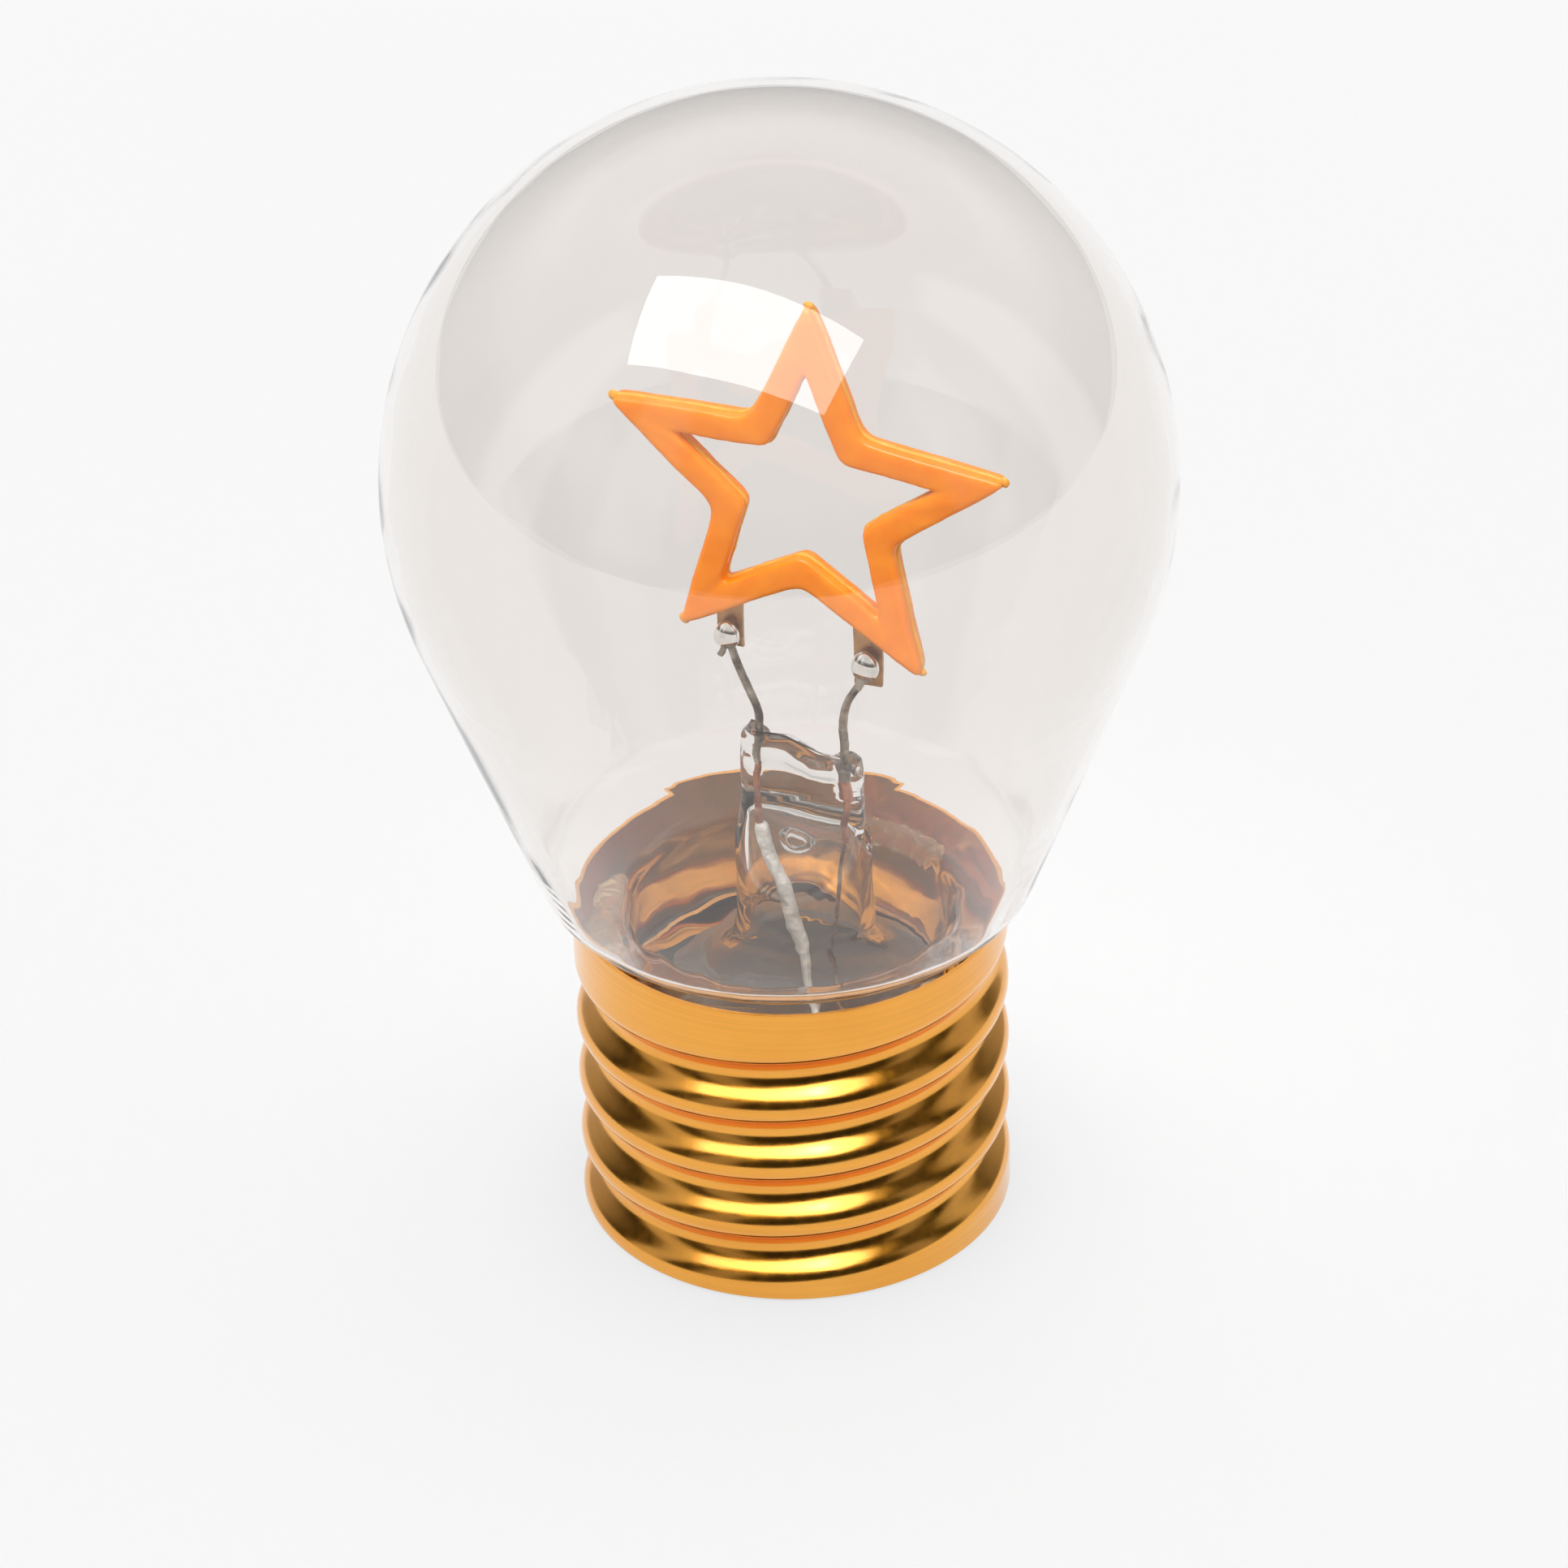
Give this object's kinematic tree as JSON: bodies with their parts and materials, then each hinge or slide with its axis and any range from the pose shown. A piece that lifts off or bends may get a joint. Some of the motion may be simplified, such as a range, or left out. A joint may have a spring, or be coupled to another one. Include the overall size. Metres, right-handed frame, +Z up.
{
  "type": "decorative bulb lamp",
  "caption": "Battery-powered decorative lamp shaped like a light bulb, with a star-shaped LED filament in clear glass and a copper-coloured screw-thread base.",
  "frame": {"origin": "centre of the base's underside, on the surface the lamp stands on", "axes": "+Z up along the bulb's axis to the top of the glass, -Y towards the front, +X to the right as seen from the front"},
  "size_m": [0.06, 0.06, 0.0942],
  "materials": {
    "clear_glass": "clear, thin-walled, fire-polished",
    "anodised_shell": "satin copper-orange anodised",
    "phosphor_silicone": "semi-gloss orange phosphor silicone, unlit",
    "brass_substrate": "dull brown brass",
    "solder": "bright solder",
    "nickel_wire": "dull nickel wire",
    "copper_wire": "copper-coated seal wire",
    "white_insulation": "white sleeving",
    "clear_glue": "clear hot-melt glue",
    "dark_plastic": "fine-textured black moulding",
    "steel": "plated steel",
    "cell_steel": "bright nickel-plated cell can",
    "board_laminate": "green solder mask",
    "resistor_ceramic": "black chip",
    "red_insulation": "red PVC",
    "black_insulation": "black PVC"
  },
  "bodies": {
    "lamp": {"glass_bulb": "clear_glass", "glass_stem": "clear_glass", "inner_lead_left": "nickel_wire", "inner_lead_right": "nickel_wire", "seal_wire_left": "copper_wire", "seal_wire_right": "copper_wire", "insulated_lead": "white_insulation", "bare_lead": "nickel_wire", "star_substrate": "brass_substrate", "star_coating_front": "phosphor_silicone", "star_coating_back": "phosphor_silicone", "solder_left": "solder", "solder_right": "solder", "base_shell": "anodised_shell", "glue_dab_1": "clear_glue", "glue_dab_2": "clear_glue", "glue_dab_3": "clear_glue", "deck_cover": "dark_plastic", "deck_screw_left": "steel", "deck_screw_right": "steel", "base_tray": "dark_plastic", "positive_contact": "steel", "negative_contact": "steel", "contact_spring": "steel", "battery_wire_positive": "red_insulation", "battery_wire_negative": "black_insulation", "circuit_board": "board_laminate", "chip_resistor": "resistor_ceramic", "switch_body": "steel"},
    "switch": {"switch_slider": "dark_plastic"},
    "door": {"battery_door": "dark_plastic"},
    "screw": {"door_screw": "steel"},
    "cells": {"cell_1": "cell_steel", "cell_2": "cell_steel", "cell_3": "cell_steel"}
  },
  "joints": [
    {"name": "switch_slide", "type": "slide", "parent": "lamp", "child": "switch", "axis": [1, 0, 0], "range_m": [0, 0.002]},
    {"name": "door_lift", "type": "slide", "parent": "lamp", "child": "door", "axis": [0, 0, -1], "range_m": [0, 0.028]},
    {"name": "screw_turn", "type": "hinge", "parent": "door", "child": "screw", "pos_m": [0.0116, 0.002, 0], "axis": [0, 0, 1], "continuous": true},
    {"name": "cells_lift", "type": "slide", "parent": "lamp", "child": "cells", "axis": [0, 0, -1], "range_m": [0, 0.014]}
  ],
  "couplings": [
    {"joint": "cells_lift", "follows": "door_lift", "ratio": 0.5}
  ]
}
